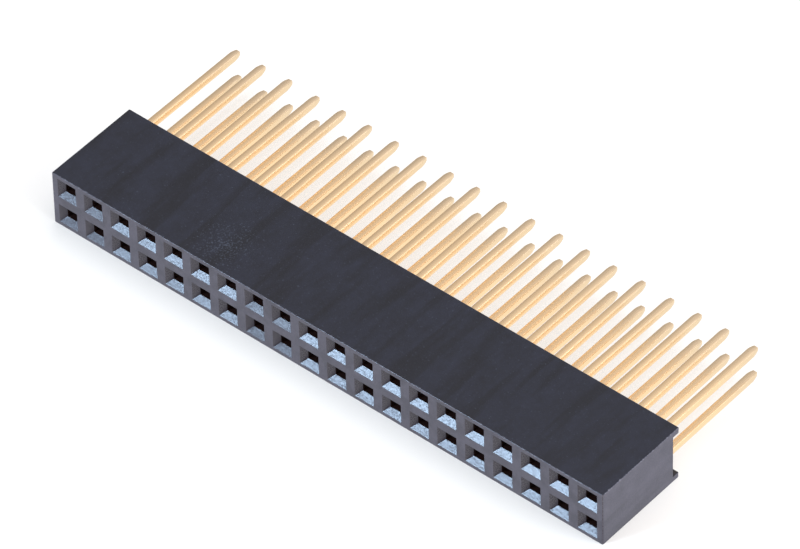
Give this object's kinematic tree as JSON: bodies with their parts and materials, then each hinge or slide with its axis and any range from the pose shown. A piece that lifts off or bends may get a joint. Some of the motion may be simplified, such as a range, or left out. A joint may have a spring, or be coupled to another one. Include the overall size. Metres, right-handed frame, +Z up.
{
  "type": "female pin header strip",
  "caption": "Two-row socket strip for square pins: a black moulded bar with funnel-mouthed square sockets in front and long gold-plated solder tails behind.",
  "frame": {"origin": "middle of the long side that the housing lies on, at the surface it rests on", "axes": "+X along the strip, +Y from the socket face towards the tails, +Z up through the thickness"},
  "size_m": [0.051, 0.019, 0.005],
  "materials": {
    "moulded_plastic": "black glass-filled polyester, as moulded, slightly satin",
    "plated_contact": "pale gold flash over a copper alloy, satin"
  },
  "bodies": {
    "root": {"housing": "moulded_plastic", "contact_lower_01": "plated_contact", "contact_lower_02": "plated_contact", "contact_lower_03": "plated_contact", "contact_lower_04": "plated_contact", "contact_lower_05": "plated_contact", "contact_lower_06": "plated_contact", "contact_lower_07": "plated_contact", "contact_lower_08": "plated_contact", "contact_lower_09": "plated_contact", "contact_lower_10": "plated_contact", "contact_lower_11": "plated_contact", "contact_lower_12": "plated_contact", "contact_lower_13": "plated_contact", "contact_lower_14": "plated_contact", "contact_lower_15": "plated_contact", "contact_lower_16": "plated_contact", "contact_lower_17": "plated_contact", "contact_lower_18": "plated_contact", "contact_lower_19": "plated_contact", "contact_lower_20": "plated_contact", "contact_upper_01": "plated_contact", "contact_upper_02": "plated_contact", "contact_upper_03": "plated_contact", "contact_upper_04": "plated_contact", "contact_upper_05": "plated_contact", "contact_upper_06": "plated_contact", "contact_upper_07": "plated_contact", "contact_upper_08": "plated_contact", "contact_upper_09": "plated_contact", "contact_upper_10": "plated_contact", "contact_upper_11": "plated_contact", "contact_upper_12": "plated_contact", "contact_upper_13": "plated_contact", "contact_upper_14": "plated_contact", "contact_upper_15": "plated_contact", "contact_upper_16": "plated_contact", "contact_upper_17": "plated_contact", "contact_upper_18": "plated_contact", "contact_upper_19": "plated_contact", "contact_upper_20": "plated_contact"}
  },
  "joints": []
}
